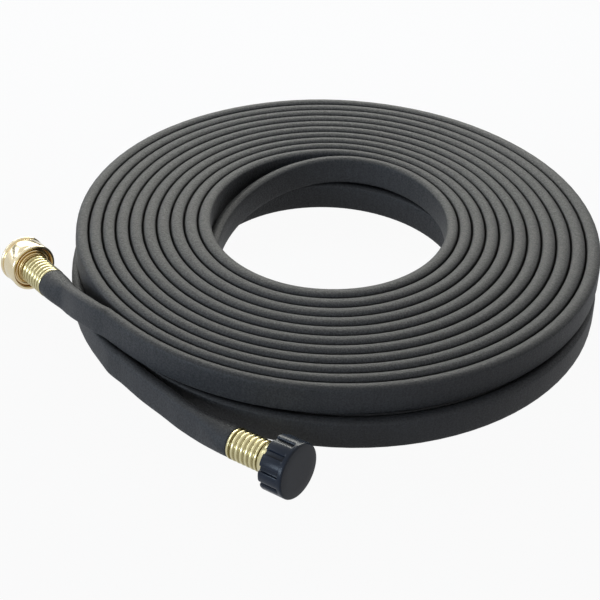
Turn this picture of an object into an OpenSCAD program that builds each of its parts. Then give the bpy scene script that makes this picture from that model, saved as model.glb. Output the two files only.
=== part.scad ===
// Coiled flat soaker hose with a swivel inlet nut and a capped outlet, in millimetres.
// The coil lies on the floor plane Z = 0, wound clockwise from the outlet in two layers.

/* [Hose] */
// Height of the hose where it is pressed flat and stands on edge
hose_h = 18.7; // [16:0.1:21]
// Outside diameter of the hose where it is round, at the fittings
hose_d = 17.6; // [16.8:0.1:17.8]
// Width of the flats at the top and bottom edge, as a share of the hose's thickness
edge_flat = 0.62; // [0.5:0.02:0.8]

/* [Coil] */
// Outside radius of the coil where the top layer leaves it
coil_r = 162.3; // [158:0.1:166]
// Distance from one turn to the next across the coil
turn_pitch = 8.1; // [7.8:0.05:8.4]
// Air between neighbouring turns
turn_gap = 0.5; // [0.45:0.05:0.8]
// Air between the two layers
layer_gap = 0.5; // [0.45:0.05:0.8]
// Straight run at each end of the coil
end_run = 19; // [19:1:22]

/* [Barbed tubes] */
// Diameter over the barbs
barb_d = 11.2; // [10.6:0.1:11.6]
// Water way through the barbed tubes
barb_bore_d = 8.2; // [6:0.1:8.6]
// Number of barbs
barb_count = 4; // [3:1:5]

/* [Crimped ferrules] */
// Hose wall squeezed between a barb and the ferrule
squeezed_wall = 2.25; // [2:0.05:2.5]
// Sheet of the ferrule, in the valleys between its ridges
ferrule_wall = 0.5; // [0.4:0.05:0.8]
// Height of a crimp ridge over its valleys
crimp_depth = 0.75; // [0.4:0.05:0.9]
// Distance from one ridge to the next
crimp_pitch = 3.15; // [2.8:0.05:3.4]
// Number of crimp ridges
crimp_count = 6; // [4:1:8]
// Width of the bead at the hose side
bead_l = 1.9; // [1.6:0.1:2.4]

/* [Inlet nut] */
// Bore at the thread crests
nut_thread_d = 24.6; // [24.4:0.05:24.8]
// Wall from the thread crests to the rolled rims
nut_wall = 2.15; // [1.9:0.05:2.8]
// Length of the nut
nut_l = 15.3; // [14.5:0.1:17]
// Length of the threaded stretch
nut_thread_l = 7.4; // [7:0.1:7.6]
// Thickness of the wall behind the tailpiece flange
nut_lip_t = 1.4; // [1.2:0.1:1.6]
// Step from the ferrule up to the journal that the nut turns on
journal_step = 0.6; // [0.5:0.1:0.8]
// Thickness of the tailpiece flange
flange_t = 1.4; // [1.2:0.1:1.6]

/* [Outlet thread] */
// Length of the flared collar behind the cap
flare_l = 6.2; // [5:0.1:7]
// Diameter over the male thread crests
male_d = 26.8; // [26.6:0.1:27]
// Length of the threaded stretch
male_l = 9.2; // [8.6:0.1:12]
// Water way through the threaded end
male_bore_d = 17; // [14:0.1:19]

/* [End cap] */
// Wall of the cap, from its bore to the grip lobes and the plain rim
cap_wall = 2.7; // [2.4:0.1:3.4]
// Wall behind the cap's flat face
cap_end_t = 2.3; // [2.2:0.1:4]
// Number of grip grooves
groove_count = 10; // [8:1:12]
// Radius of a grip groove
groove_r = 1.9; // [1.5:0.1:2.2]
// Depth of a grip groove
groove_depth = 1.2; // [0.8:0.1:1.3]
// Plain rim left at the closed end
rim_l = 3; // [2.6:0.1:5]
// Rounding of the cap's outer edges
cap_edge = 1.1; // [0.6:0.1:1.4]

/* [Washers and flow disc] */
// Thickness of the rubber washers
washer_t = 2.6; // [2.4:0.05:3]
// Hole through the rubber washers
washer_bore_d = 15.4; // [15:0.1:16]
// Thickness of the flow disc
disc_t = 1.6; // [1.2:0.1:2]
// Metering hole in the flow disc
disc_hole_d = 2.2; // [1.5:0.1:3]

/* [Clearances] */
// Air around soft pieces and between seated pieces
seat_gap = 0.2; // [0.15:0.05:0.25]
// Radial air of the turning and screwing fits
running_gap = 0.1; // [0.05:0.01:0.1]
// Air between flat faces that bear on each other
face_gap = 0.1; // [0.05:0.01:0.15]

/* [Hidden] */

fit_fn = 48;
small_fn = 24;

// Finishes
rubber = [0.17, 0.17, 0.18];
gold = [0.86, 0.72, 0.44];
pale_gold = [0.82, 0.79, 0.56];
plain_brass = [0.72, 0.58, 0.32];
cap_black = [0.13, 0.14, 0.17];
seal_black = [0.08, 0.08, 0.08];
disc_white = [0.85, 0.85, 0.82];

// The frame's origin is the middle of the part's footprint: the coil's own middle lies here in it
coil_middle = [19.36, 30.62, 0];

// ---- Route of the coil: angles in degrees, turned clockwise from the outlet end ----
ring_step = 15;
start_az = 210;
end_az = 225;
climb_turn = 180;
bottom_turn = 9 * 360 + 330;
top_turn = 10 * 360 + 195;
coil_turn = bottom_turn + climb_turn + top_turn;
// How far the innermost climbing turn swings clear of the turns beside it
climb_swing = 3;
// Share of the climb that the hose runs level, at each end of it
climb_level = 0.1;
// Lie of each layer's turns at its outside, its middle and its inside: where the turn's own middle is,
// and how far it is oval along X and along the diagonal
bottom_lie = [[2.9, -8.6, -1.2, 0.7], [1.7, -4.7, -0.6, 0.3], [0.5, -0.8, 0, 0]];
top_lie = [[0.2, 0.8, 1.1, 1.5], [-2.1, 4.6, -0.6, 1.8], [-2, 10.2, -1, 1.5]];

layer_rise = hose_h + layer_gap;
bottom_z = hose_h / 2;
outer_line_r = coil_r - turn_pitch / 2;
bottom_inner_r = outer_line_r - turn_pitch * bottom_turn / 360;
top_inner_r = outer_line_r - turn_pitch * top_turn / 360;

// ---- Axial places on a fitting, measured from the ferrule's mouth along its axis ----
barb_start = 0.8;
neck_d = barb_d + 1.2;
ferrule_bore_d = barb_d + 2 * squeezed_wall;
ferrule_d = ferrule_bore_d + 2 * (ferrule_wall + crimp_depth);
ferrule_l = bead_l + crimp_count * crimp_pitch;
neck_start = ferrule_l - 1.2;
collar_at = ferrule_l + face_gap;
nut_back = collar_at + 1.2;
nut_d = nut_thread_d + 2 * nut_wall;
journal_d = ferrule_d + 2 * journal_step;
lip_at = nut_back + 1.4;
flange_at = lip_at + nut_lip_t + face_gap;
flange_end = flange_at + flange_t;
nut_front = nut_back + nut_l;
thread_at = nut_front - nut_thread_l;
nut_chamber_d = nut_thread_d + 0.4;
flange_d = nut_chamber_d - 1.4;
flare_d = male_d - 4;
flare_end = collar_at + flare_l;
male_at = flare_end + 1.2;
male_end = male_at + male_l;
cap_bore_d = male_d + 2 * running_gap;
cap_d = cap_bore_d + 2 * cap_wall;
cap_mouth = flare_end + seat_gap;
cap_floor = male_end + washer_t + 2 * face_gap;
cap_face = cap_floor + cap_end_t;
stub_d = ferrule_bore_d - 2 * seat_gap;
stub_bore_d = barb_d + 2 * seat_gap;

function smooth(u) = let (v = min(1, max(0, u))) v * v * (3 - 2 * v);
function mix(a, b, u) = a + (b - a) * u;
function flat_dir(az) = [cos(az), sin(az)];
function heading_dir(heading, slope) =
    [cos(heading) * cos(slope), sin(heading) * cos(slope), sin(slope)];

// Radius, middle and height of the hose's line after it has turned by t degrees
function in_climb(t) = (t - bottom_turn) / climb_turn;
function climb_r(u) = (2 * pow(u, 3) - 3 * pow(u, 2) + 1) * bottom_inner_r
    + (3 * pow(u, 2) - 2 * pow(u, 3)) * top_inner_r
    - (pow(u, 3) - 2 * pow(u, 2) + u) * turn_pitch * climb_turn / 360
    + (pow(u, 3) - pow(u, 2)) * turn_pitch * climb_turn / 360
    - climb_swing * pow(sin(180 * u), 2);
function line_r(t) = t <= bottom_turn ? outer_line_r - turn_pitch * t / 360
    : t >= bottom_turn + climb_turn ? outer_line_r - turn_pitch * (coil_turn - t) / 360
    : climb_r(in_climb(t));

// A turn's lie at the share u of the way from the outside to the inside, through its three stations,
// and how fast it changes with u
function lie_at(s, u) = (1 - u) * (1 - 2 * u) * s[0] + 4 * u * (1 - u) * s[1] + u * (2 * u - 1) * s[2];
function lie_slope(s, u) = (4 * u - 3) * s[0] + (4 - 8 * u) * s[1] + (4 * u - 1) * s[2];
function bottom_share(t) = min(1, t / bottom_turn);
function top_share(t) = min(1, (coil_turn - t) / top_turn);
function line_lie(t) = mix(lie_at(bottom_lie, bottom_share(t)), lie_at(top_lie, top_share(t)),
    smooth(in_climb(t)));
function line_z(t) = bottom_z + layer_rise * smooth((in_climb(t) - climb_level) / (1 - 2 * climb_level));
function oval_at(lie, az) = lie[2] * cos(2 * az) + lie[3] * sin(2 * az);
function line_point(t) = let (lie = line_lie(t), az = start_az - t, r = line_r(t) + oval_at(lie, az))
    [lie[0] + r * cos(az), lie[1] + r * sin(az), line_z(t)];

// Turns lie closer where their lies crowd them together, and are pressed thinner there
function crowding(lie, az) = lie[0] * cos(az) + lie[1] * sin(az) + oval_at(lie, az);
function turn_lie_step(t) = mix(lie_slope(bottom_lie, bottom_share(t)) * 360 / bottom_turn,
    lie_slope(top_lie, top_share(t)) * 360 / top_turn, smooth(in_climb(t)));
function half_t(t) = (turn_pitch - crowding(turn_lie_step(t), start_az - t) - turn_gap) / 2;

// Six-sided section of the pressed hose, flat at its top and bottom edge
function coil_section(half) = let (e = half * edge_flat, h = hose_h / 2)
    [[-e, -h], [e, -h], [half, 0], [e, h], [-e, h], [-half, 0]];
function ring_at(p, out, section) = [for (s = section) [p.x + out.x * s.x, p.y + out.y * s.x, p.z + s.y]];
function coil_ring(t) = ring_at(line_point(t), flat_dir(start_az - t), coil_section(half_t(t)));
function shifted(ring, by) = [for (p = ring) p + by];
function turned_left(az) = [-sin(az), cos(az), 0];

coil_start_dir = turned_left(start_az);
coil_end_dir = -turned_left(end_az);
coil_start = line_point(0) + end_run * coil_start_dir;
coil_end = line_point(coil_turn) + end_run * coil_end_dir;
coil_rings = concat([shifted(coil_ring(0), end_run * coil_start_dir)],
    [for (t = [0 : ring_step : coil_turn]) coil_ring(t)],
    [shifted(coil_ring(coil_turn), end_run * coil_end_dir)]);

// Least distance between the points of turns that lie beside or on each other
rings_per_turn = 360 / ring_step;
function ring_gap(a, b) = min([for (p = a) for (q = b) norm(p - q)]);
function coil_gap() = min([for (i = [1 : len(coil_rings) - 2])
    for (j = [i + rings_per_turn : rings_per_turn : len(coil_rings) - 2])
        if (norm(coil_rings[i][0] - coil_rings[j][0]) < 2 * hose_h) ring_gap(coil_rings[i], coil_rings[j])]);

// Closed tube through rings of equal length, all faces triangles
function side_faces(rings, n) = [for (i = [0 : rings - 2]) for (k = [0 : n - 1])
    let (a = i * n + k, b = i * n + (k + 1) % n) each [[a, b, b + n], [a, b + n, a + n]]];
function end_faces(first, n, flip) = [for (k = [1 : n - 2])
    flip ? [first, first + k, first + k + 1] : [first, first + k + 1, first + k]];
module tube_through(rings) {
    n = len(rings[0]);
    count = len(rings);
    polyhedron(points = [for (r = rings) each r],
        faces = concat(side_faces(count, n), end_faces(0, n, false), end_faces((count - 1) * n, n, true)));
}

// Eight-sided section of a free stretch: pressed flat at 0, round at 1
function tail_section(half, roundness) = let (e = half * edge_flat, h = hose_h / 2, q = hose_h / 6,
    flat = [[-e, -h], [e, -h], [half, -q], [half, q], [e, h], [-e, h], [-half, q], [-half, -q]],
    round = [for (a = [-112.5 : 45 : 202.5]) hose_d / 2 * [cos(a), sin(a)]])
    [for (k = [0 : 7]) mix(flat[k], round[k], roundness)];
function unit(v) = v / norm(v);
function swell(p, mouth) = smooth((swell_from - norm(mouth - p)) / (swell_from - swell_to));
// A tail's line runs from the coil to the mouth, and its sections stand square to it
function tail_ring(p, along, out_sign, half, mouth) = let (side = unit(cross(along, [0, 0, 1])) * out_sign,
    up = cross(side, along) * out_sign)
    [for (s = tail_section(half, swell(p, mouth))) p + side * s.x + up * s.y];
function tail_dir(line, i, first_dir, last_dir) = i == 0 ? first_dir
    : i >= len(line) - len(last_run) ? last_dir : unit(line[i + 1] - line[i - 1]);
function tail_rings(line, first_dir, last_dir, half, mouth, out_sign) = [for (i = [0 : len(line) - 1])
    tail_ring(line[i], tail_dir(line, i, first_dir, last_dir), out_sign, half, mouth)];

// ---- Where the two fittings lie: the ferrule's mouth, its heading and its slope ----
inlet_heading = 126.85;
inlet_slope = -5;
outlet_heading = -35.35;
outlet_slope = 4;
// Each mouth is set off from the coil's straight end. The nut's front rim and the cap's back rim
// lie on the floor.
inlet_reach = [-39.5, 52];
outlet_reach = [75.4, -76.5];
inlet_z = -nut_front * sin(inlet_slope) + nut_d / 2 * cos(inlet_slope);
outlet_z = -cap_mouth * sin(outlet_slope) + cap_d / 2 * cos(outlet_slope);
inlet_mouth = [coil_end.x + inlet_reach.x, coil_end.y + inlet_reach.y, inlet_z];
outlet_mouth = [coil_start.x + outlet_reach.x, coil_start.y + outlet_reach.y, outlet_z];

// ---- Routes of the two free stretches, as steps from the coil's straight end to the fitting ----
inlet_route = [[-6.8, 5.2, -0.2], [-13.3, 12, -1.1], [-19.6, 20, -3.1], [-24.8, 28.9, -6.2]];
outlet_route = [[10.5, -12, 0], [22, -25.5, 0.1], [34.5, -39, 0.9], [47, -53.5, 2.4]];
// Distances before the ferrule's mouth at which the straight last run has a section
last_run = [17, 11.5, 6, seat_gap];
// The hose swells from flat to round between these distances before the mouth
swell_from = 21;
swell_to = 8;

inlet_dir = heading_dir(inlet_heading, inlet_slope);
outlet_dir = heading_dir(outlet_heading, outlet_slope);
inlet_line = concat([coil_end], [for (step = inlet_route) coil_end + step],
    [for (d = last_run) inlet_mouth - d * inlet_dir]);
outlet_line = concat([coil_start], [for (step = outlet_route) coil_start + step],
    [for (d = last_run) outlet_mouth - d * outlet_dir]);

// ---- Placing ----
module in_frame() {
    translate(coil_middle) children();
}
// Puts a piece made along +Z, from the ferrule's mouth outward, on its fitting's axis
module at_inlet() {
    in_frame() translate(inlet_mouth) rotate([0, 90 - inlet_slope, inlet_heading]) children();
}
module at_outlet() {
    in_frame() translate(outlet_mouth) rotate([0, 90 - outlet_slope, outlet_heading]) children();
}

module turned(profile, fn = fit_fn) {
    rotate_extrude($fn = fn) polygon(profile);
}
module ring_solid(outer_d, bore_d, from, to) {
    turned([[bore_d / 2, from], [outer_d / 2, from], [outer_d / 2, to], [bore_d / 2, to]]);
}

// ---- Hose ----
module hose_coil() {
    color(rubber) in_frame() tube_through(coil_rings);
}

// The hose's own end inside the ferrule, over the barbs
module hose_stub() {
    root = 2 * seat_gap;
    turned([[0, -2], [stub_d / 2, -2], [stub_d / 2, neck_start - seat_gap],
        [stub_bore_d / 2, neck_start - seat_gap], [stub_bore_d / 2, root], [0, root]]);
}

module inlet_tail() {
    color(rubber) {
        in_frame() tube_through(tail_rings(inlet_line, coil_end_dir, inlet_dir, half_t(coil_turn),
            inlet_mouth, 1));
        at_inlet() hose_stub();
    }
}

module outlet_tail() {
    color(rubber) {
        in_frame() tube_through(tail_rings(outlet_line, coil_start_dir, outlet_dir, half_t(0),
            outlet_mouth, 1));
        at_outlet() hose_stub();
    }
}

// ---- Crimped ferrule, the same at both ends: ridges outside, a lip at the far end ----
module ferrule() {
    ridge_r = ferrule_d / 2;
    valley_r = ridge_r - crimp_depth;
    ridges = [for (k = [0 : crimp_count - 1]) let (z = bead_l + k * crimp_pitch)
        each [[valley_r, z], [valley_r, z + 0.12 * crimp_pitch], [ridge_r - 0.15, z + 0.36 * crimp_pitch],
            [ridge_r, z + 0.56 * crimp_pitch], [ridge_r - 0.15, z + 0.76 * crimp_pitch]]];
    lip_d = neck_d + 2 * seat_gap;
    turned(concat([[ferrule_bore_d / 2, 0], [ridge_r - 0.4, 0], [ridge_r, 0.5], [ridge_r, bead_l - 0.4]],
        ridges, [[valley_r, ferrule_l], [lip_d / 2, ferrule_l], [lip_d / 2, neck_start + seat_gap],
            [ferrule_bore_d / 2, neck_start + seat_gap]]));
}

module inlet_ferrule() {
    color(pale_gold) at_inlet() ferrule();
}

module outlet_ferrule() {
    color(pale_gold) at_outlet() ferrule();
}

// Outline of the barbed stretch, from the tube's tip to the neck
function barb_outline() = let (low = barb_d / 2 - 0.5, pitch = (neck_start - barb_start - 1) / barb_count)
    concat([[barb_bore_d / 2, barb_start], [low - 0.3, barb_start]],
        [for (k = [0 : barb_count - 1]) let (z = barb_start + k * pitch)
            each [[barb_d / 2, z + 0.75 * pitch], [low, z + 0.8 * pitch]]],
        [[low, neck_start + 0.4], [neck_d / 2, neck_start + 0.4]]);

module inlet_tailpiece() {
    collar_d = journal_d - 0.8;
    color(plain_brass) at_inlet() turned(concat(barb_outline(),
        [[neck_d / 2, collar_at], [collar_d / 2, collar_at], [collar_d / 2, nut_back],
            [journal_d / 2, nut_back + 0.4], [journal_d / 2, flange_at], [flange_d / 2, flange_at],
            [flange_d / 2, flange_end], [barb_bore_d / 2, flange_end]]));
}

module inlet_nut() {
    rim_r = nut_d / 2;
    bead = 1.1;
    bead_r = rim_r - bead;
    band_r = rim_r - 0.6;
    hole_r = journal_d / 2 + running_gap;
    thread_r = nut_thread_d / 2;
    chamber_r = nut_chamber_d / 2;
    lip_end = lip_at + nut_lip_t;
    // Half-round rims at both ends of the plain band
    back_rim = [for (a = [-90 : 30 : 60]) [bead_r + bead * cos(a), nut_back + bead + bead * sin(a)]];
    front_rim = [for (a = [-60 : 30 : 90]) [bead_r + bead * cos(a), nut_front - bead + bead * sin(a)]];
    color(gold) at_inlet() turned(concat([[hole_r, lip_at], [hole_r + 1.2, lip_at - 0.2]],
        [[rim_r - 2.6, nut_back + 0.5]], back_rim,
        [[band_r, nut_back + 2.6], [band_r, nut_front - 2.6]], front_rim,
        [[thread_r + 0.5, nut_front], [thread_r, nut_front - 0.5], [thread_r, thread_at],
            [chamber_r, thread_at], [chamber_r, lip_end], [hole_r, lip_end]]));
}

module inlet_washer() {
    from = flange_end + face_gap;
    color(seal_black) at_inlet()
        ring_solid(nut_chamber_d - 2 * seat_gap, washer_bore_d, from, from + washer_t);
}

module flow_restrictor() {
    from = flange_end + face_gap;
    color(disc_white) at_inlet() ring_solid(washer_bore_d - 2 * seat_gap, disc_hole_d, from, from + disc_t);
}

module outlet_stem() {
    chamfer = 1;
    crest_r = male_d / 2;
    low_r = crest_r - chamfer;
    color(plain_brass) at_outlet() turned(concat(barb_outline(),
        [[neck_d / 2, collar_at], [ferrule_d / 2, collar_at], [flare_d / 2, flare_end]],
        [[flare_d / 2, male_at], [low_r, male_at], [crest_r, male_at + chamfer]],
        [[crest_r, male_end - chamfer], [low_r, male_end], [male_bore_d / 2, male_end]],
        [[male_bore_d / 2, male_at + 2], [barb_bore_d / 2, flare_end - 1]]));
}

module end_cap() {
    rim_r = cap_d / 2;
    groove_l = cap_face - rim_l - cap_mouth;
    edge_r = rim_r - cap_edge;
    mouth_edge = [for (a = [-90 : 30 : 0])
        [edge_r + cap_edge * cos(a), cap_mouth + cap_edge + cap_edge * sin(a)]];
    face_edge = [for (a = [0 : 30 : 90])
        [edge_r + cap_edge * cos(a), cap_face - cap_edge + cap_edge * sin(a)]];
    color(cap_black) at_outlet() difference() {
        turned(concat([[cap_bore_d / 2, cap_mouth]], mouth_edge, face_edge,
            [[0, cap_face], [0, cap_floor], [cap_bore_d / 2, cap_floor]]));
        for (k = [0 : groove_count - 1])
            rotate(k * 360 / groove_count) translate([rim_r + groove_r - groove_depth, 0, cap_mouth - 1])
                cylinder(r = groove_r, h = groove_l + 1, $fn = small_fn);
    }
}

module cap_washer() {
    from = male_end + face_gap;
    color(seal_black) at_outlet()
        ring_solid(cap_bore_d - 2 * seat_gap, washer_bore_d, from, from + washer_t);
}

hose_coil();
inlet_tail();
outlet_tail();
inlet_nut();
inlet_tailpiece();
inlet_ferrule();
inlet_washer();
flow_restrictor();
outlet_stem();
outlet_ferrule();
end_cap();
cap_washer();
echo(least_gap_mm = coil_gap());
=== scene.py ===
import math

import bmesh
import bpy
from mathutils import Matrix, Vector


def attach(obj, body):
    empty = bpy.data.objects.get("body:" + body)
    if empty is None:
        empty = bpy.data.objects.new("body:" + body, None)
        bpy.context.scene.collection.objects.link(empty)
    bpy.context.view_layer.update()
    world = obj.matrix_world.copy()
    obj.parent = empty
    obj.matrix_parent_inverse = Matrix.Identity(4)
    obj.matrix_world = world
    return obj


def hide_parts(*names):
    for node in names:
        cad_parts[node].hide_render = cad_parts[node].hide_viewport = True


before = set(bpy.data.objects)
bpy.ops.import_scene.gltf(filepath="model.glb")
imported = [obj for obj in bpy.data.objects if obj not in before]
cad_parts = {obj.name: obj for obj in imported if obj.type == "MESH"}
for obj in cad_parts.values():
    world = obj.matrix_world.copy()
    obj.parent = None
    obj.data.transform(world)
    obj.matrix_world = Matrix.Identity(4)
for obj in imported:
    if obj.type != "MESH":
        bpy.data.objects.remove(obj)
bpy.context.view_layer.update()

# ---------------------------------------------------------------- Camera
# A long lens looks down at the coil from the front, tilted by three degrees.
# The aim is the point on the floor that lies in the middle of the picture.
CAM_AIM = Vector((0.0004, 0.00586, 0.0))
CAM_DISTANCE = 1.23
CAM_ELEVATION = math.radians(35.389)
CAM_ROLL = math.radians(3.161)
CAM_LENS = 122.18
CAM_SENSOR = 36.0
CAM_NEAR, CAM_FAR = 0.05, 50.0

looking = Vector((0.0, math.cos(CAM_ELEVATION), -math.sin(CAM_ELEVATION)))
level_right = Vector((1.0, 0.0, 0.0))
level_up = level_right.cross(looking)
cam_right = level_right * math.cos(CAM_ROLL) + level_up * math.sin(CAM_ROLL)
cam_up = level_up * math.cos(CAM_ROLL) - level_right * math.sin(CAM_ROLL)
camera = bpy.data.objects.new("camera", bpy.data.cameras.new("camera"))
camera.data.lens = CAM_LENS
camera.data.sensor_width = CAM_SENSOR
camera.data.clip_start = CAM_NEAR
camera.data.clip_end = CAM_FAR
camera.matrix_world = Matrix.Translation(CAM_AIM - looking * CAM_DISTANCE) @ Matrix(
    (cam_right, cam_up, -looking)
).transposed().to_4x4()
bpy.context.scene.collection.objects.link(camera)
bpy.context.scene.camera = camera

# ---------------------------------------------------------------- Soaker hose
# One length of porous recycled-rubber hose, extruded round and pressed flat by its own coiling.
# It is wound on edge: inward in the bottom layer, up at the middle, and back out in the top layer.
# It is still round where the ferrules grip it, and swells from flat to round before them.
# Sizes are in millimetres, and turns and headings in degrees.
MM = 0.001
COIL_MIDDLE = Vector((19.36, 30.62, 0.0))
HOSE_H = 18.7
HOSE_D = 17.6
COIL_R = 162.3
TURN_PITCH = 8.1
TURN_GAP = 0.5
LAYER_GAP = 0.5
END_RUN = 19.0
START_AZ = 210.0
END_AZ = 225.0
CLIMB_TURN = 180.0
BOTTOM_TURN = 9 * 360.0 + 330.0
TOP_TURN = 10 * 360.0 + 195.0
COIL_TURN = BOTTOM_TURN + CLIMB_TURN + TOP_TURN
CLIMB_SWING = 3.0
CLIMB_LEVEL = 0.1
# Lie of a layer's turns at its outside, middle and inside:
# X and Y of the turn's middle, then how far it is oval along X and along the diagonal
BOTTOM_LIE = ((2.9, -8.6, -1.2, 0.7), (1.7, -4.7, -0.6, 0.3), (0.5, -0.8, 0.0, 0.0))
TOP_LIE = ((0.2, 0.8, 1.1, 1.5), (-2.1, 4.6, -0.6, 1.8), (-2.0, 10.2, -1.0, 1.5))
# Where the fittings lie: heading, slope, reach from the coil's straight end, and height of the mouth
INLET_HEADING, INLET_SLOPE = 126.85, -5.0
OUTLET_HEADING, OUTLET_SLOPE = -35.35, 4.0
INLET_REACH, INLET_MOUTH_Z = (-39.5, 52.0), 17.6546
OUTLET_REACH, OUTLET_MOUTH_Z = (75.4, -76.5), 14.2562
INLET_ROUTE = [(-6.8, 5.2, -0.2), (-13.3, 12.0, -1.1), (-19.6, 20.0, -3.1), (-24.8, 28.9, -6.2)]
OUTLET_ROUTE = [(10.5, -12.0, 0.0), (22.0, -25.5, 0.1), (34.5, -39.0, 0.9), (47.0, -53.5, 2.4)]
LAST_RUN = [17.0, 11.5, 6.0, 0.2]
SWELL_FROM, SWELL_TO = 27.0, 3.0
# Spacing of the sections: degrees round the coil, rings in a straight end, millimetres along a tail
RING_STEP = 3.75
END_RINGS = 6
TAIL_STEP = 1.6
# The pressed section: rounding and crown of its edges, and belly of its sides
EDGE_ROUNDING = 1.4
EDGE_TURN = 63.0
EDGE_CUTS = 3
EDGE_CROWN = 0.85
SIDE_BELLY = 0.28
# Turns bulge until they touch, except for the loose ones outside, and are pressed hardest at the back
TOUCH_BULGE = 0.21
BACK_PRESS = 0.19
LOOSE_TURN, SNUG_AFTER = 330.0, 60.0
# Slow unevenness of the edges, in share of the height and in millimetres
SQUASH, SQUASH_PHASE = 0.05, 0.4
LIFT, LIFT_PHASE = 0.18, 2.1
FLOOR_AIR = 0.02

outer_line_r = COIL_R - TURN_PITCH / 2
bottom_inner_r = outer_line_r - TURN_PITCH * BOTTOM_TURN / 360
top_inner_r = outer_line_r - TURN_PITCH * TOP_TURN / 360


def smooth(u):
    """An eased step from 0 to 1."""
    u = min(1.0, max(0.0, u))
    return u * u * (3 - 2 * u)


def flat_dir(az):
    return Vector((math.cos(math.radians(az)), math.sin(math.radians(az))))


def heading_dir(heading, slope):
    level = math.cos(math.radians(slope))
    ahead = flat_dir(heading)
    return Vector((ahead.x * level, ahead.y * level, math.sin(math.radians(slope))))


def climb_share(t):
    return (t - BOTTOM_TURN) / CLIMB_TURN


def line_radius(t):
    """Radius of the hose's line after t degrees: two spirals, joined by a curve that climbs."""
    if t <= BOTTOM_TURN:
        return outer_line_r - TURN_PITCH * t / 360
    if t >= BOTTOM_TURN + CLIMB_TURN:
        return outer_line_r - TURN_PITCH * (COIL_TURN - t) / 360
    u = climb_share(t)
    slope = TURN_PITCH * CLIMB_TURN / 360
    ends = (2 * u**3 - 3 * u**2 + 1) * bottom_inner_r + (3 * u**2 - 2 * u**3) * top_inner_r
    bends = -(u**3 - 2 * u**2 + u) * slope + (u**3 - u**2) * slope
    return ends + bends - CLIMB_SWING * math.sin(math.pi * u) ** 2


def mixed(a, b, u):
    return tuple(p + (q - p) * u for p, q in zip(a, b))


def lie_at(lie, u):
    """A turn's lie at the share u of the way inward, through the layer's three stations."""
    weights = (1 - u) * (1 - 2 * u), 4 * u * (1 - u), u * (2 * u - 1)
    return tuple(sum(w * v for w, v in zip(weights, station)) for station in zip(*lie))


def lie_slope(lie, u):
    """How fast the lie changes with u."""
    weights = 4 * u - 3, 4 - 8 * u, 4 * u - 1
    return tuple(sum(w * v for w, v in zip(weights, station)) for station in zip(*lie))


def oval_at(lie, az):
    return lie[2] * math.cos(math.radians(2 * az)) + lie[3] * math.sin(math.radians(2 * az))


def shares_at(t):
    """How far inward the line is in the bottom and the top layer, and how far it has climbed."""
    return min(1.0, t / BOTTOM_TURN), min(1.0, (COIL_TURN - t) / TOP_TURN), smooth(climb_share(t))


def line_point(t):
    low, high, climbed = shares_at(t)
    lie = mixed(lie_at(BOTTOM_LIE, low), lie_at(TOP_LIE, high), climbed)
    az = START_AZ - t
    p = Vector(lie[:2]) + (line_radius(t) + oval_at(lie, az)) * flat_dir(az)
    rise = smooth((climb_share(t) - CLIMB_LEVEL) / (1 - 2 * CLIMB_LEVEL))
    return Vector((p.x, p.y, HOSE_H / 2 + (HOSE_H + LAYER_GAP) * rise))


def half_thickness(t):
    """Half of the hose's thickness: it is thinner where the turns crowd each other."""
    low, high, climbed = shares_at(t)
    bottom = [v * 360 / BOTTOM_TURN for v in lie_slope(BOTTOM_LIE, low)]
    top = [v * 360 / TOP_TURN for v in lie_slope(TOP_LIE, high)]
    step = mixed(bottom, top, climbed)
    az = START_AZ - t
    return (TURN_PITCH - Vector(step[:2]).dot(flat_dir(az)) - oval_at(step, az) - TURN_GAP) / 2


def flat_section(half, bulge=0.0):
    """Points of the pressed hose, from the middle of its outer side round over its top edge."""
    h = HOSE_H / 2
    corner = min(EDGE_ROUNDING, half * 0.5)
    belly = SIDE_BELLY + bulge
    quarter = [(half + bulge - belly * share**2, share * h) for share in (0.0, 0.3, 0.6)]
    for k in range(EDGE_CUTS + 1):
        a = math.radians(EDGE_TURN * k / EDGE_CUTS)
        drop = corner * (math.sin(math.radians(EDGE_TURN)) - math.sin(a))
        quarter.append((half - SIDE_BELLY - corner * (1 - math.cos(a)), h - EDGE_CROWN - drop))
    crown_end = quarter[-1][0]
    quarter += [(crown_end * u, h - EDGE_CROWN * u * u) for u in (0.66, 0.33)]
    left = [(-x, y) for x, y in reversed(quarter[1:])]
    top = quarter + [(0.0, h)] + left
    return top + [(-x, -y) for x, y in top]


def round_section(count):
    angles = [2 * math.pi * k / count for k in range(count)]
    return [(HOSE_D / 2 * math.cos(a), HOSE_D / 2 * math.sin(a)) for a in angles]


def tail_line(points, first_dir, last_dir):
    """A smooth curve through the points, as (place, direction) pairs."""
    tangents = [first_dir]
    for i in range(1, len(points) - 1):
        if i >= len(points) - len(LAST_RUN):
            tangents.append(last_dir)
        else:
            tangents.append((points[i + 1] - points[i - 1]).normalized())
    tangents.append(last_dir)
    line = []
    for i in range(len(points) - 1):
        p, q = points[i], points[i + 1]
        reach = (q - p).length
        m, n = tangents[i] * reach, tangents[i + 1] * reach
        count = max(2, round(reach / TAIL_STEP))
        for k in range(count):
            u = k / count
            place = (2 * u**3 - 3 * u**2 + 1) * p + (u**3 - 2 * u**2 + u) * m
            place += (3 * u**2 - 2 * u**3) * q + (u**3 - u**2) * n
            along = (6 * u**2 - 6 * u) * p + (3 * u**2 - 4 * u + 1) * m
            along += (6 * u - 6 * u**2) * q + (3 * u**2 - 2 * u) * n
            line.append((place, along.normalized()))
    return line + [(points[-1], last_dir)]


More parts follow.
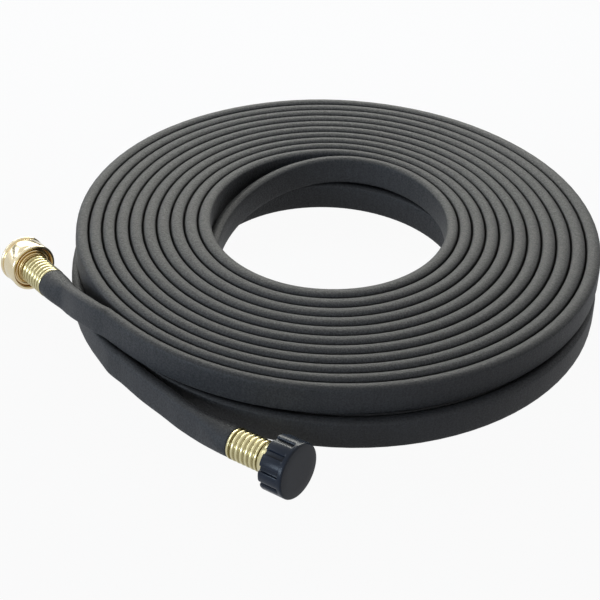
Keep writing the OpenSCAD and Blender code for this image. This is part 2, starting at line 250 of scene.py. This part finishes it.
def unevenness(t, phase):
    """Slow waviness between 0 and 1 along the coil, always the same."""
    waves = ((1.0, 0.0171), (0.7, 0.0463), (0.5, 0.0897), (0.3, 0.1731))
    total = sum(a * math.sin(t * f + phase * (i + 1.7)) for i, (a, f) in enumerate(waves))
    return 0.5 + 0.5 * total / sum(a for a, f in waves)


def hose_end(points, first_dir, mouth, last_dir, half):
    """Sections of a free stretch from the coil to its ferrule: pressed flat first, then round."""
    rings = []
    pressed = flat_section(half)
    rounded = round_section(len(pressed))
    for place, along in tail_line(points, first_dir, last_dir):
        side = along.cross(Vector((0.0, 0.0, 1.0))).normalized()
        up = side.cross(along)
        swell = smooth((SWELL_FROM - (mouth - place).length) / (SWELL_FROM - SWELL_TO))
        section = [mixed(a, b, swell) for a, b in zip(pressed, rounded)]
        ring = [place + side * x + up * y for x, y in section]
        rings.append((place, [Vector((p.x, p.y, max(p.z, 0.0))) for p in ring]))
    return rings


def sides_swapped(rings):
    """The same sections with the hose's two sides exchanged, where its line runs the other way."""
    n = len(rings[0][1])
    return [(p, [ring[(n // 2 - k) % n] for k in range(n)]) for p, ring in rings]


inlet_dir = heading_dir(INLET_HEADING, INLET_SLOPE)
outlet_dir = heading_dir(OUTLET_HEADING, OUTLET_SLOPE)
coil_start_dir = flat_dir(START_AZ + 90).to_3d()
coil_end_dir = flat_dir(END_AZ - 90).to_3d()
coil_start = line_point(0) + END_RUN * coil_start_dir
coil_end = line_point(COIL_TURN) + END_RUN * coil_end_dir
inlet_mouth = coil_end + Vector(INLET_REACH + (INLET_MOUTH_Z - coil_end.z,))
outlet_mouth = coil_start + Vector(OUTLET_REACH + (OUTLET_MOUTH_Z - coil_start.z,))

hose_rings = []
steps = round(COIL_TURN / RING_STEP)
for k in range(-END_RINGS, steps + END_RINGS + 1):
    t = min(max(k * RING_STEP, 0.0), COIL_TURN)
    place = line_point(t)
    out = flat_dir(START_AZ - t)
    if k < 0:
        place = place + coil_start_dir * END_RUN * (-k / END_RINGS)
    if k > steps:
        place = place + coil_end_dir * END_RUN * ((k - steps) / END_RINGS)
    inside = smooth((min(t, COIL_TURN - t) - LOOSE_TURN) / SNUG_AFTER)
    press = BACK_PRESS * inside * smooth(math.sin(math.radians(START_AZ - t)))
    half = half_thickness(t) + press
    squash = 1 - SQUASH * unevenness(t, SQUASH_PHASE)
    lift = LIFT * unevenness(t, LIFT_PHASE) * (1 if t < BOTTOM_TURN else -1)
    ring = []
    for x, y in flat_section(half, TOUCH_BULGE * inside - press):
        z = place.z + y * (squash if y > 0 else 1.0) + lift
        ring.append(Vector((place.x + out.x * x, place.y + out.y * x, max(FLOOR_AIR, z))))
    hose_rings.append((place, ring))

outlet_points = [coil_start] + [coil_start + Vector(p) for p in OUTLET_ROUTE]
outlet_points += [outlet_mouth - d * outlet_dir for d in LAST_RUN]
inlet_points = [coil_end] + [coil_end + Vector(p) for p in INLET_ROUTE]
inlet_points += [inlet_mouth - d * inlet_dir for d in LAST_RUN]
outlet_rings = hose_end(outlet_points, coil_start_dir, outlet_mouth, outlet_dir, half_thickness(0))
inlet_rings = hose_end(inlet_points, coil_end_dir, inlet_mouth, inlet_dir, half_thickness(COIL_TURN))
all_rings = list(reversed(outlet_rings))[:-1] + hose_rings + sides_swapped(inlet_rings)[1:]

verts = [(COIL_MIDDLE + p) * MM for middle, ring in all_rings for p in ring]
around = len(all_rings[0][1])
last_ring = (len(all_rings) - 1) * around
faces = []
for first in range(0, last_ring, around):
    for k in range(around):
        a, b = first + k, first + (k + 1) % around
        faces.append((a, b, b + around, a + around))
faces.append(tuple(range(around)))
faces.append(tuple(reversed(range(last_ring, last_ring + around))))
hose_mesh = bpy.data.meshes.new("soaker_hose")
hose_mesh.from_pydata(verts, [], faces)
hose_mesh.polygons.foreach_set("use_smooth", [True] * len(hose_mesh.polygons))
bm = bmesh.new()
bm.from_mesh(hose_mesh)
bmesh.ops.recalc_face_normals(bm, faces=bm.faces)
bm.to_mesh(hose_mesh)
bm.free()
hose = bpy.data.objects.new("soaker_hose", hose_mesh)
bpy.context.scene.collection.objects.link(hose)


def new_material(name, values):
    """A node material with these values on its shader."""
    made = bpy.data.materials.new(name)
    made.use_nodes = True
    shader = made.node_tree.nodes["Principled BSDF"]
    for socket, value in values.items():
        shader.inputs[socket].default_value = value
    return made, made.node_tree, shader


def add(tree, kind, values, **settings):
    """A new node. Each value is set on its input, or linked to it where it is another's output."""
    made = tree.nodes.new("ShaderNode" + kind)
    for name, value in settings.items():
        setattr(made, name, value)
    for socket, value in values.items():
        if isinstance(value, bpy.types.NodeSocket):
            tree.links.new(value, made.inputs[socket])
        else:
            made.inputs[socket].default_value = value
    return made


def object_coords(tree):
    return add(tree, "TexCoord", {}).outputs["Object"]


def noise(tree, vector, scale, detail=2.0, roughness=0.5):
    values = {"Vector": vector, "Scale": scale, "Detail": detail, "Roughness": roughness}
    return add(tree, "TexNoise", values).outputs["Fac"]


def between(tree, share, low, high):
    """A colour that runs from low to high with the share."""
    values = {"Fac": share, "Color1": (*low, 1.0), "Color2": (*high, 1.0)}
    return add(tree, "MixRGB", values).outputs["Color"]


def multiplied(tree, strength, colour, by):
    values = {"Fac": strength, "Color1": colour, "Color2": by}
    return add(tree, "MixRGB", values, blend_type="MULTIPLY").outputs["Color"]


def ramp(tree, share, low, high):
    """A colour ramp from one (position, colour) to another."""
    made = add(tree, "ValToRGB", {"Fac": share})
    for element, (position, colour) in zip(made.color_ramp.elements, (low, high)):
        element.position = position
        element.color = (*colour, 1.0)
    return made.outputs["Color"]


def hollows(tree, width, samples, deep, open_from):
    """Painted shade: the (position, colour) deep in hollows of about this width, and white on open
    faces.
    """
    openness = add(tree, "AmbientOcclusion", {"Distance": width}, samples=samples).outputs["AO"]
    return ramp(tree, openness, deep, (open_from, (1.0, 1.0, 1.0)))


def grained(tree, shader, height, strength, distance):
    """Gives the shader a bump of this height."""
    bump = add(tree, "Bump", {"Height": height, "Strength": strength, "Distance": distance})
    tree.links.new(bump.outputs["Normal"], shader.inputs["Normal"])


BLACK = (0.0, 0.0, 0.0)
rubber, tree, shader = new_material("porous_rubber", {"Roughness": 0.55, "Specular IOR Level": 0.4})
coords = object_coords(tree)
crumb = noise(tree, coords, 950.0, 3.0, 0.6)
tone = between(tree, noise(tree, coords, 60.0), (0.062, 0.064, 0.069), (0.082, 0.083, 0.087))
speckle = ramp(tree, crumb, (0.36, (0.35, 0.35, 0.35)), (0.66, (1.45, 1.45, 1.42)))
speckled = multiplied(tree, 0.7, tone, speckle)
# Faint streaks run up and down the hose's sides
upright = add(tree, "Mapping", {"Vector": coords, "Scale": (1.0, 1.0, 0.08)}).outputs["Vector"]
streaks = ramp(tree, noise(tree, upright, 420.0), (0.35, (0.9, 0.9, 0.91)), (0.65, (1.08, 1.08, 1.08)))
streaked = multiplied(tree, 1.0, speckled, streaks)
# Painted shade: black in the creases between the turns, less of it towards the back of the coil
along_y = add(tree, "SeparateXYZ", {"Vector": coords}).outputs["Y"]
crease_shade_range = {"Value": along_y, "From Min": 0.04, "From Max": 0.13, "To Min": 0.92, "To Max": 0.35}
crease_shade_strength = add(tree, "MapRange", crease_shade_range).outputs["Result"]
crease_shaded = multiplied(tree, crease_shade_strength, streaked, hollows(tree, 0.0022, 3, (0.35, BLACK), 0.85))
tree.links.new(crease_shaded, shader.inputs["Base Color"])
grained(tree, shader, crumb, 0.6, 0.0005)
hose_mesh.materials.append(rubber)
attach(hose, "root")
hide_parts("hose_coil", "inlet_tail", "outlet_tail")

# ---------------------------------------------------------------- Crimped ferrules
# A drawn brass-plated sleeve over each hose end, rolled in rings so that it grips the hose on the
# barbs. A wider bead stands at the hose side, and the far end is turned in over the tube's neck.
# Places along a fitting are measured from the ferrule's mouth, as (radius, height) in an outline.
FERRULE_L = 20.8
FERRULE_R = 9.1
FERRULE_BORE_R = 7.85
CRIMP_DEPTH = 0.75
CRIMPS = 6
CRIMP_POINTS = 10
CRIMP_SHIFT = 0.06
VALLEY_SHARPNESS = 1.8
BEAD_L = 1.9
NECK_R = 6.2
NECK_START = FERRULE_L - 1.2
SEAT_AIR = 0.2
FACE_AIR = 0.1
FINE_SIDES = 96
PLAIN_SIDES = 72
WELD = 2e-6


def fitting_frame(mouth, heading, slope):
    turned = Matrix.Rotation(math.radians(heading), 4, "Z")
    tipped = Matrix.Rotation(math.radians(90 - slope), 4, "Y")
    return Matrix.Translation((COIL_MIDDLE + mouth) * MM) @ turned @ tipped


inlet_place = fitting_frame(inlet_mouth, INLET_HEADING, INLET_SLOPE)
outlet_place = fitting_frame(outlet_mouth, OUTLET_HEADING, OUTLET_SLOPE)


def filleted(points, radius, cuts=3):
    """A closed profile whose corners are rounded by up to the radius."""
    least_reach, straight, on_axis = 0.02, 0.995, 0.01
    done = []
    for i, (x, y) in enumerate(points):
        corner = Vector((x, y))
        before = Vector(points[i - 1]) - corner
        after = Vector(points[(i + 1) % len(points)]) - corner
        reach = min(radius, 0.45 * before.length, 0.45 * after.length)
        bend = abs(before.normalized().dot(after.normalized()))
        if reach < least_reach or bend > straight or x < on_axis:
            done.append((x, y))
            continue
        a, b = corner + before.normalized() * reach, corner + after.normalized() * reach
        for k in range(cuts + 1):
            u = k / cuts
            p = (1 - u) ** 2 * a + 2 * u * (1 - u) * corner + u**2 * b
            done.append((p.x, p.y))
    return done


def arc(middle_r, middle_z, radius, angles):
    """Points of an outline on a round edge, at these angles from straight out."""
    turns = [math.radians(a) for a in angles]
    return [(middle_r + radius * math.cos(a), middle_z + radius * math.sin(a)) for a in turns]


def spun(name, place, angles, profile, sharp=38.0):
    """A turned piece: profile(angle) gives one closed outline of (radius, height)."""
    columns = [profile(a) for a in angles]
    n = len(columns[0])
    mesh = bpy.data.meshes.new(name)
    made = bmesh.new()
    rows = []
    for a, column in zip(angles, columns):
        c, s = math.cos(math.radians(a)), math.sin(math.radians(a))
        points = [place @ Vector((r * c * MM, r * s * MM, z * MM)) for r, z in column]
        rows.append([made.verts.new(p) for p in points])
    for row, beside in zip(rows, rows[1:]):
        for k in range(n):
            made.faces.new([row[k], row[(k + 1) % n], beside[(k + 1) % n], beside[k]])
    bmesh.ops.remove_doubles(made, verts=made.verts, dist=WELD)
    bmesh.ops.dissolve_degenerate(made, edges=made.edges, dist=WELD / 20)
    bmesh.ops.recalc_face_normals(made, faces=made.faces)
    for face in made.faces:
        face.smooth = True
    for edge in made.edges:
        if len(edge.link_faces) == 2 and edge.calc_face_angle(0.0) > math.radians(sharp):
            edge.smooth = False
    made.to_mesh(mesh)
    made.free()
    piece = bpy.data.objects.new(name, mesh)
    bpy.context.scene.collection.objects.link(piece)
    return piece


def even_angles(count):
    return [360.0 * k / count for k in range(count + 1)]


def brass(name, cloud_scale, cloud_detail, tones, roughness, valley_shade=None):
    """Brass with slow clouds in its tone and gloss. Its last argument, (width, deep, open_from),
    paints shade deep in its hollows.
    """
    made, tree, shader = new_material(name, {"Metallic": 1.0})
    cloud = noise(tree, object_coords(tree), cloud_scale, cloud_detail)
    tone = between(tree, cloud, *tones)
    if valley_shade:
        width, deep, open_from = valley_shade
        tone = multiplied(tree, 1.0, tone, hollows(tree, width, 12, deep, open_from))
    tree.links.new(tone, shader.inputs["Base Color"])
    values = {"Value": cloud, "To Min": roughness[0], "To Max": roughness[1]}
    tree.links.new(add(tree, "MapRange", values).outputs["Result"], shader.inputs["Roughness"])
    return made


lip_r = NECK_R + SEAT_AIR
valley_r = FERRULE_R - CRIMP_DEPTH
pitch = (FERRULE_L - BEAD_L) / CRIMPS
ferrule_outline = [(FERRULE_BORE_R, 0.0), (FERRULE_R - 0.25, 0.0), (FERRULE_R, 0.35)]
ferrule_outline += [(FERRULE_R, BEAD_L - 0.55)]
for k in range(CRIMPS):
    for j in range(CRIMP_POINTS):
        share = j / CRIMP_POINTS
        wave = (0.5 + 0.5 * math.cos(2 * math.pi * (share - CRIMP_SHIFT))) ** VALLEY_SHARPNESS
        ferrule_outline.append((FERRULE_R - CRIMP_DEPTH * wave, BEAD_L + pitch * (k + share)))
ferrule_outline += [(valley_r, FERRULE_L - 0.1), (valley_r - 0.4, FERRULE_L), (lip_r, FERRULE_L)]
ferrule_outline += [(lip_r, NECK_START + SEAT_AIR), (FERRULE_BORE_R, NECK_START + SEAT_AIR)]

# Painted shade: dark olive deep in the hollows, such as the valleys of the crimps
pale_brass = brass(
    "pale_brass", 350.0, 3.0, ((0.74, 0.66, 0.36), (0.86, 0.80, 0.50)), (0.16, 0.28),
    (0.003, (0.76, (0.24, 0.20, 0.08)), 0.98),
)
for end, place in (("inlet", inlet_place), ("outlet", outlet_place)):
    name = end + "_crimped_ferrule"
    ferrule = spun(name, place, even_angles(FINE_SIDES), lambda a: ferrule_outline)
    ferrule.data.materials.append(pale_brass)
    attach(ferrule, "root")
    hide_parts(end + "_ferrule")

# ---------------------------------------------------------------- Inlet tailpiece
# A turned brass tube: barbs in the hose, a journal for the nut and a flange that pulls the washer
# tight. Its flange shows only through the nut's open front.
BARB_R = 5.6
BARB_ROOT_R = BARB_R - 0.5
BARB_BORE_R = 4.1
BARB_START = 0.8
BARBS = 4
COLLAR_AT = FERRULE_L + FACE_AIR
COLLAR_R = 9.3
NUT_BACK = COLLAR_AT + 1.2
JOURNAL_R = 9.7
LIP_AT = NUT_BACK + 1.4
LIP_T = 1.4
FLANGE_AT = LIP_AT + 1.5
FLANGE_END = FLANGE_AT + 1.4
FLANGE_R = 11.8


def barb_outline():
    step = (NECK_START - BARB_START - 1) / BARBS
    outline = [(BARB_BORE_R, BARB_START), (BARB_ROOT_R - 0.3, BARB_START)]
    for k in range(BARBS):
        outline.append((BARB_R, BARB_START + (k + 0.75) * step))
        outline.append((BARB_ROOT_R, BARB_START + (k + 0.8) * step))
    return outline + [(BARB_ROOT_R, NECK_START + 0.4), (NECK_R, NECK_START + 0.4)]


tailpiece_outline = barb_outline() + [
    (NECK_R, COLLAR_AT), (COLLAR_R, COLLAR_AT), (COLLAR_R, NUT_BACK), (JOURNAL_R, NUT_BACK + 0.4),
    (JOURNAL_R, FLANGE_AT), (FLANGE_R, FLANGE_AT), (FLANGE_R, FLANGE_END),
    (BARB_BORE_R, FLANGE_END),
]
tailpiece_outline = filleted(tailpiece_outline, 0.2)
tailpiece = spun(
    "inlet_barbed_tailpiece", inlet_place, even_angles(PLAIN_SIDES), lambda a: tailpiece_outline
)

turned_brass = brass(
    "turned_brass", 500.0, 3.0, ((0.76, 0.60, 0.30), (0.86, 0.72, 0.42)), (0.24, 0.4)
)
tailpiece.data.materials.append(turned_brass)
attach(tailpiece, "root")
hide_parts("inlet_tailpiece")

# ---------------------------------------------------------------- Inlet swivel nut
# A polished brass nut, pressed from sheet: a plain band between two rolled rims, with a dished
# back. Inside it carries the female garden hose thread, cut to run over a tap's outlet.
NUT_R = 14.44
NUT_L = 15.3
NUT_FRONT = NUT_BACK + NUT_L
NUT_THREAD_AT = NUT_FRONT - 7.4
NUT_CREST_R = 12.3
NUT_ROOT_R = 13.3
NUT_CHAMBER_R = 12.5
NUT_HOLE_R = 9.8
LIP_END = LIP_AT + LIP_T
THREAD_PITCH = 2.2087
# Share of the pitch and the part of the thread that stands there: root, flank, crest, flank
THREAD_SHAPE = ((0.0, "root"), (0.30, "root"), (0.48, "crest"), (0.82, "crest"))
RIM_ROLL = 1.1
RIM_STEP = 17
# The plain band from a rim to its middle: depth under the rims, and distance from the nut's end
HALF_BAND = ((0.85, 2.2), (0.9, 2.6), (0.75, 3.1), (0.5, 4.0), (0.35, 5.4))
BAND_MIDDLE_DEPTH = 0.3


def thread_rows(angle, from_z, to_z, root_r, crest_r, rise):
    """Outline of a right-hand thread at this angle, faded out over the rise at both ends."""
    rows = []
    radii = {"root": root_r, "crest": crest_r}
    turns = math.ceil((to_z - from_z) / THREAD_PITCH) + 1
    for m in range(-1, turns):
        for share, part in THREAD_SHAPE:
            z = from_z + THREAD_PITCH * (m + share + angle / 360.0)
            z = min(max(z, from_z), to_z)
            fade = smooth((z - from_z) / rise) * smooth((to_z - z) / rise)
            rows.append((root_r + (radii[part] - root_r) * fade, z))
    return rows


def nut_profile(angle):
    # The dished back, from its hole over a groove to the back rim
    dish = [
        (NUT_HOLE_R, LIP_END), (NUT_HOLE_R, LIP_AT + 0.1), (10.0, LIP_AT - 0.1),
        (10.6, LIP_AT - 0.2), (10.9, LIP_AT), (11.0, LIP_AT + 0.7), (12.0, LIP_AT + 0.7),
        (12.2, NUT_BACK + 1.2), (12.5, NUT_BACK + 0.75),
    ]
    rim_r = NUT_R - RIM_ROLL
    back = arc(rim_r, NUT_BACK + RIM_ROLL, RIM_ROLL, range(-110, 61, RIM_STEP))
    front = arc(rim_r, NUT_FRONT - RIM_ROLL, RIM_ROLL, range(-60, 111, RIM_STEP))
    band = [(NUT_R - d, NUT_BACK + h) for d, h in HALF_BAND]
    band += [(NUT_R - BAND_MIDDLE_DEPTH, NUT_BACK + NUT_L / 2)]
    band += [(NUT_R - d, NUT_FRONT - h) for d, h in reversed(HALF_BAND)]
    bore = [(NUT_CREST_R + 0.5, NUT_FRONT - 0.1), (NUT_CREST_R + 0.1, NUT_FRONT - 0.6)]
    crest_r = NUT_CREST_R + 0.05
    thread = thread_rows(angle, NUT_THREAD_AT + 0.2, NUT_FRONT - 0.7, crest_r, NUT_ROOT_R, 0.5)
    chamber = [(crest_r, NUT_THREAD_AT), (NUT_CHAMBER_R, NUT_THREAD_AT), (NUT_CHAMBER_R, LIP_END)]
    return dish + back + band + front + bore + list(reversed(thread)) + chamber


nut = spun("inlet_swivel_nut", inlet_place, even_angles(FINE_SIDES), nut_profile)

# Painted shade: dark amber deep in the hollows of the nut's dished back and thread
polished_brass = brass(
    "polished_brass", 220.0, 4.0, ((0.90, 0.76, 0.48), (0.95, 0.86, 0.64)), (0.12, 0.24),
    (0.004, (0.15, (0.52, 0.34, 0.07)), 0.9),
)
nut.data.materials.append(polished_brass)
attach(nut, "nut")
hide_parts("inlet_nut")

# ---------------------------------------------------------------- Washer and flow disc in the nut
# A black rubber washer sits on the tailpiece's flange and seals against the tap.
# A white plastic disc with one small hole rests in it and holds the pressure down for soaking.
WASHER_T = 2.6
WASHER_BORE_R = 7.7
INLET_WASHER_R = 12.3
WASHER_ROUNDING = 0.5
WASHER_CUTS = 4
WASHER_AT = FLANGE_END + FACE_AIR


def washer_ring(outer_r, at):
    """Rounded outline of a flat washer that lies at this place along its fitting."""
    top = at + WASHER_T
    outline = [(WASHER_BORE_R, at), (outer_r, at), (outer_r, top), (WASHER_BORE_R, top)]
    return filleted(outline, WASHER_ROUNDING, WASHER_CUTS)


washer_outline = washer_ring(INLET_WASHER_R, WASHER_AT)
inlet_washer = spun(
    "inlet_washer_ring", inlet_place, even_angles(PLAIN_SIDES), lambda a: washer_outline
)

washer_rubber, tree, shader = new_material("washer_rubber", {"Roughness": 0.6})
cloud = noise(tree, object_coords(tree), 900.0)
tone = between(tree, cloud, (0.018, 0.018, 0.018), (0.035, 0.035, 0.036))
tree.links.new(tone, shader.inputs["Base Color"])
grained(tree, shader, cloud, 0.2, 0.0002)
inlet_washer.data.materials.append(washer_rubber)
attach(inlet_washer, "nut")
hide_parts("inlet_washer")

DISC_R = 7.5
DISC_HOLE_R = 1.1
DISC_RIM_AT = WASHER_AT + 1.6
DISC_FLOOR_AT = WASHER_AT + 1.1
# From the hole out under the disc, over its rim, across its sunk floor and up the hole's collar
disc_outline = filleted([
    (DISC_HOLE_R, WASHER_AT), (DISC_R, WASHER_AT), (DISC_R, DISC_RIM_AT), (6.6, DISC_RIM_AT),
    (6.3, DISC_FLOOR_AT), (2.2, DISC_FLOOR_AT), (1.9, DISC_RIM_AT), (DISC_HOLE_R, DISC_RIM_AT),
], 0.2)
disc = spun("inlet_flow_disc", inlet_place, even_angles(PLAIN_SIDES), lambda a: disc_outline)

disc_plastic, tree, shader = new_material("disc_plastic", {"Roughness": 0.45})
cloud = noise(tree, object_coords(tree), 300.0)
tone = between(tree, cloud, (0.74, 0.74, 0.71), (0.82, 0.82, 0.80))
tree.links.new(tone, shader.inputs["Base Color"])
disc.data.materials.append(disc_plastic)
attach(disc, "nut")
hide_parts("flow_restrictor")

# ---------------------------------------------------------------- Outlet stem
# A turned brass tube with barbs in the hose, a flared collar that shows behind the cap,
# and the male garden hose thread under the cap.
MALE_R = 13.4
MALE_ROOT_R = 12.1
MALE_BORE_R = 8.5
FLARE_R = 11.4
FLARE_END = COLLAR_AT + 6.2
MALE_AT = FLARE_END + 1.2
MALE_END = MALE_AT + 9.2


def stem_profile(angle):
    flare = [
        (NECK_R, COLLAR_AT), (FERRULE_R - 0.3, COLLAR_AT), (FERRULE_R - 0.1, COLLAR_AT + 0.25),
        (9.9, COLLAR_AT + 2.2), (FLARE_R - 0.15, FLARE_END - 0.05), (FLARE_R, FLARE_END + 0.15),
        (FLARE_R, MALE_AT), (MALE_ROOT_R, MALE_AT),
    ]
    thread = thread_rows(angle, MALE_AT + 0.1, MALE_END - 0.7, MALE_ROOT_R, MALE_R, 1.0)
    mouth = [
        (MALE_ROOT_R, MALE_END - 0.6), (MALE_ROOT_R - 0.6, MALE_END), (MALE_BORE_R + 0.3, MALE_END),
        (MALE_BORE_R, MALE_END - 0.3), (MALE_BORE_R, MALE_AT + 2), (BARB_BORE_R, FLARE_END - 1),
    ]
    return barb_outline() + flare + thread + mouth


stem = spun("outlet_threaded_stem", outlet_place, even_angles(FINE_SIDES), stem_profile)
stem.data.materials.append(pale_brass)
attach(stem, "root")
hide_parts("outlet_stem")

# ---------------------------------------------------------------- End cap
# A moulded black plastic screw cap with wide grip lobes between narrow grooves,
# which stop short of a plain rim with a rounded edge. Its round end face is flat and bare.
CAP_R = 16.19
CAP_MOUTH = FLARE_END + SEAT_AIR
CAP_FLOOR = MALE_END + WASHER_T + 2 * FACE_AIR
CAP_FACE = CAP_FLOOR + 2.3
CAP_BORE_R = 13.5
CAP_CREST_R = 12.6
CAP_EDGE = 1.1
CAP_MOUTH_EDGE = 0.7
CAP_SHARP = 28.0
GROOVES = 10
GROOVE_STEP = 360.0 / GROOVES
GROOVE_DEPTH = 1.7
GROOVE_END = CAP_FACE - 3.0
# Half of a groove: degrees from its middle, and share of its depth
GROOVE_SHAPE = (
    (0.0, 1.0), (2.6, 0.98), (4.6, 0.9), (5.4, 0.42), (6.0, 0.22), (7.4, 0.13), (9.6, 0.06),
    (12.5, 0.01), (18.0, 0.0),
)


def groove_depth_at(angle):
    off = abs((angle + GROOVE_STEP / 2) % GROOVE_STEP - GROOVE_STEP / 2)
    for (a, d), (b, e) in zip(GROOVE_SHAPE, GROOVE_SHAPE[1:]):
        if off <= b:
            return GROOVE_DEPTH * (d + (e - d) * (off - a) / (b - a))
    return 0.0


cap_angles = [0.0]
for k in range(GROOVES):
    cap_angles += [GROOVE_STEP * k + a for a, d in GROOVE_SHAPE[1:]]
    cap_angles += [GROOVE_STEP * (k + 1) - a for a, d in reversed(GROOVE_SHAPE[:-1])]


def cap_profile(angle):
    g = groove_depth_at(angle)
    mouth_r = CAP_R - CAP_MOUTH_EDGE - g
    outline = [(CAP_BORE_R + 0.4, CAP_MOUTH)]
    outline += arc(mouth_r, CAP_MOUTH + CAP_MOUTH_EDGE, CAP_MOUTH_EDGE, range(-90, 1, 30))
    # The groove runs out into the plain rim
    outline += [
        (CAP_R - g, GROOVE_END - 1.2), (CAP_R - g, GROOVE_END - 0.45),
        (CAP_R - 0.85 * g, GROOVE_END - 0.15), (CAP_R - 0.35 * g, GROOVE_END + 0.12),
        (CAP_R, GROOVE_END + 0.35), (CAP_R, GROOVE_END + 1.2),
    ]
    outline += arc(CAP_R - CAP_EDGE, CAP_FACE - CAP_EDGE, CAP_EDGE, range(0, 91, 18))
    outline += [(10.0, CAP_FACE), (4.0, CAP_FACE), (0.0, CAP_FACE)]
    outline += [(0.0, CAP_FLOOR), (CAP_BORE_R, CAP_FLOOR)]
    thread = thread_rows(angle, CAP_MOUTH + 1.5, CAP_FLOOR - 4.5, CAP_BORE_R, CAP_CREST_R, 1.0)
    return outline + list(reversed(thread)) + [(CAP_BORE_R, CAP_MOUTH + 0.5)]


cap = spun("outlet_end_cap", outlet_place, cap_angles, cap_profile, CAP_SHARP)

gloss_values = {"Roughness": 0.26, "Specular IOR Level": 0.27}
cap_plastic, tree, shader = new_material("cap_plastic", gloss_values)
coords = object_coords(tree)
tone = between(tree, noise(tree, coords, 120.0), (0.022, 0.034, 0.058), (0.032, 0.044, 0.070))
# Painted shade: black deep in the grooves and other hollows
groove_shade = hollows(tree, 0.002, 12, (0.5, BLACK), 0.95)
tree.links.new(multiplied(tree, 1.0, tone, groove_shade), shader.inputs["Base Color"])
grained(tree, shader, noise(tree, coords, 2200.0), 0.12, 0.0001)
cap.data.materials.append(cap_plastic)
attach(cap, "cap")
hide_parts("end_cap")

# ---------------------------------------------------------------- Washer in the cap
# The same kind of black rubber washer, pressed in the cap's floor. It leaves with the cap.
CAP_WASHER_R = 13.3
seal_outline = washer_ring(CAP_WASHER_R, MALE_END + FACE_AIR)
seal = spun("outlet_cap_washer", outlet_place, even_angles(PLAIN_SIDES), lambda a: seal_outline)
seal.data.materials.append(washer_rubber)
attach(seal, "cap_seal")
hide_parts("cap_washer")

# ---------------------------------------------------------------- Floor and light
# A plain pale floor without an edge, and the soft light of a photo tent: a long softbox low over
# the back of the coil, a cool one at the front left, and one at the left that only gloss sees.
# Two dark cards give the brass something dark to reflect.
FLOOR_SIZE = 16.0
FLOOR_DROP = 0.0002
CAMERA_SHARE, GLOSSY_SHARE = 0.95, 0.6
CARD_COLOUR = (0.20, 0.14, 0.08, 1.0)
# Name, place, width and height
CARDS = (
    ("left_card", (-0.8, 0.30, 0.36), 0.8, 0.13),
    ("back_card", (0.1, 1.3, 0.14), 1.4, 0.22),
)
FILL_COLOUR, FILL_STRENGTH = (0.72, 0.86, 1.0, 1.0), 0.035
# Name, place, width, depth, watts, colour, and whether it lights matt faces
SOFTBOXES = (
    ("key", (-0.04, 0.43, 0.29), 0.8, 0.2, 2.9, (1.0, 1.0, 0.92), True),
    ("left", (-1.1, -0.85, 0.36), 0.6, 0.4, 5.4, (0.70, 0.84, 1.0), True),
    ("gloss", (-1.05, 0.3, 0.55), 0.8, 0.5, 2.8, (0.86, 0.93, 1.0), False),
)


def pane(name, width, height):
    """A flat rectangle about its own middle."""
    w, h = width / 2, height / 2
    mesh = bpy.data.meshes.new(name)
    mesh.from_pydata([(-w, -h, 0), (w, -h, 0), (w, h, 0), (-w, h, 0)], [], [(0, 1, 2, 3)])
    made = bpy.data.objects.new(name, mesh)
    bpy.context.scene.collection.objects.link(made)
    return made


def aim(thing, place):
    """Puts a lamp or a card at its place, facing the middle of the floor."""
    thing.location = place
    thing.rotation_euler = (-Vector(place)).to_track_quat("-Z", "Y").to_euler()


def math_node(tree, operation, first, second):
    return add(tree, "Math", {0: first, 1: second}, operation=operation).outputs["Value"]


floor = pane("floor", FLOOR_SIZE, FLOOR_SIZE)
floor.location.z = -FLOOR_DROP
paper_values = {"Base Color": (0.36, 0.41, 0.52, 1.0), "Roughness": 0.9, "Specular IOR Level": 0.1}
paper, tree, shader = new_material("floor_paper", paper_values)
rays = add(tree, "LightPath", {}).outputs
glow = add(tree, "Emission", {"Strength": 1.0}).outputs["Emission"]
to_camera = math_node(tree, "MULTIPLY", rays["Is Camera Ray"], CAMERA_SHARE)
to_gloss = math_node(tree, "MULTIPLY", rays["Is Glossy Ray"], GLOSSY_SHARE)
shown = math_node(tree, "MAXIMUM", to_camera, to_gloss)
blend = add(tree, "MixShader", {"Fac": shown, 1: shader.outputs["BSDF"], 2: glow})
tree.links.new(blend.outputs["Shader"], tree.nodes["Material Output"].inputs["Surface"])
floor.data.materials.append(paper)

for name, place, width, height in CARDS:
    card = pane(name, width, height)
    aim(card, place)
    card.visible_camera = False
    card.visible_diffuse = False
    card.visible_shadow = False
    felt, tree, shader = new_material(name, {"Base Color": CARD_COLOUR, "Specular IOR Level": 0.0})
    card.data.materials.append(felt)

world = bpy.data.worlds.new("photo_tent")
bpy.context.scene.world = world
world.use_nodes = True
tree = world.node_tree
fill = tree.nodes["Background"]
fill.inputs["Color"].default_value = FILL_COLOUR
fill.inputs["Strength"].default_value = FILL_STRENGTH
white = add(tree, "Background", {"Strength": 1.0}).outputs["Background"]
rays = add(tree, "LightPath", {}).outputs
seen = math_node(tree, "MAXIMUM", rays["Is Camera Ray"], rays["Is Glossy Ray"])
seen = math_node(tree, "MAXIMUM", seen, rays["Is Transmission Ray"])
sky = add(tree, "MixShader", {"Fac": seen, 1: fill.outputs["Background"], 2: white})
tree.links.new(sky.outputs["Shader"], tree.nodes["World Output"].inputs["Surface"])

for name, place, width, depth, power, colour, lights_matt in SOFTBOXES:
    lamp = bpy.data.lights.new(name, "AREA")
    lamp.shape = "RECTANGLE"
    lamp.size = width
    lamp.size_y = depth
    lamp.energy = power
    lamp.color = colour
    box = bpy.data.objects.new(name, lamp)
    aim(box, place)
    box.visible_diffuse = lights_matt
    bpy.context.scene.collection.objects.link(box)

bpy.context.scene.view_settings.view_transform = "Standard"
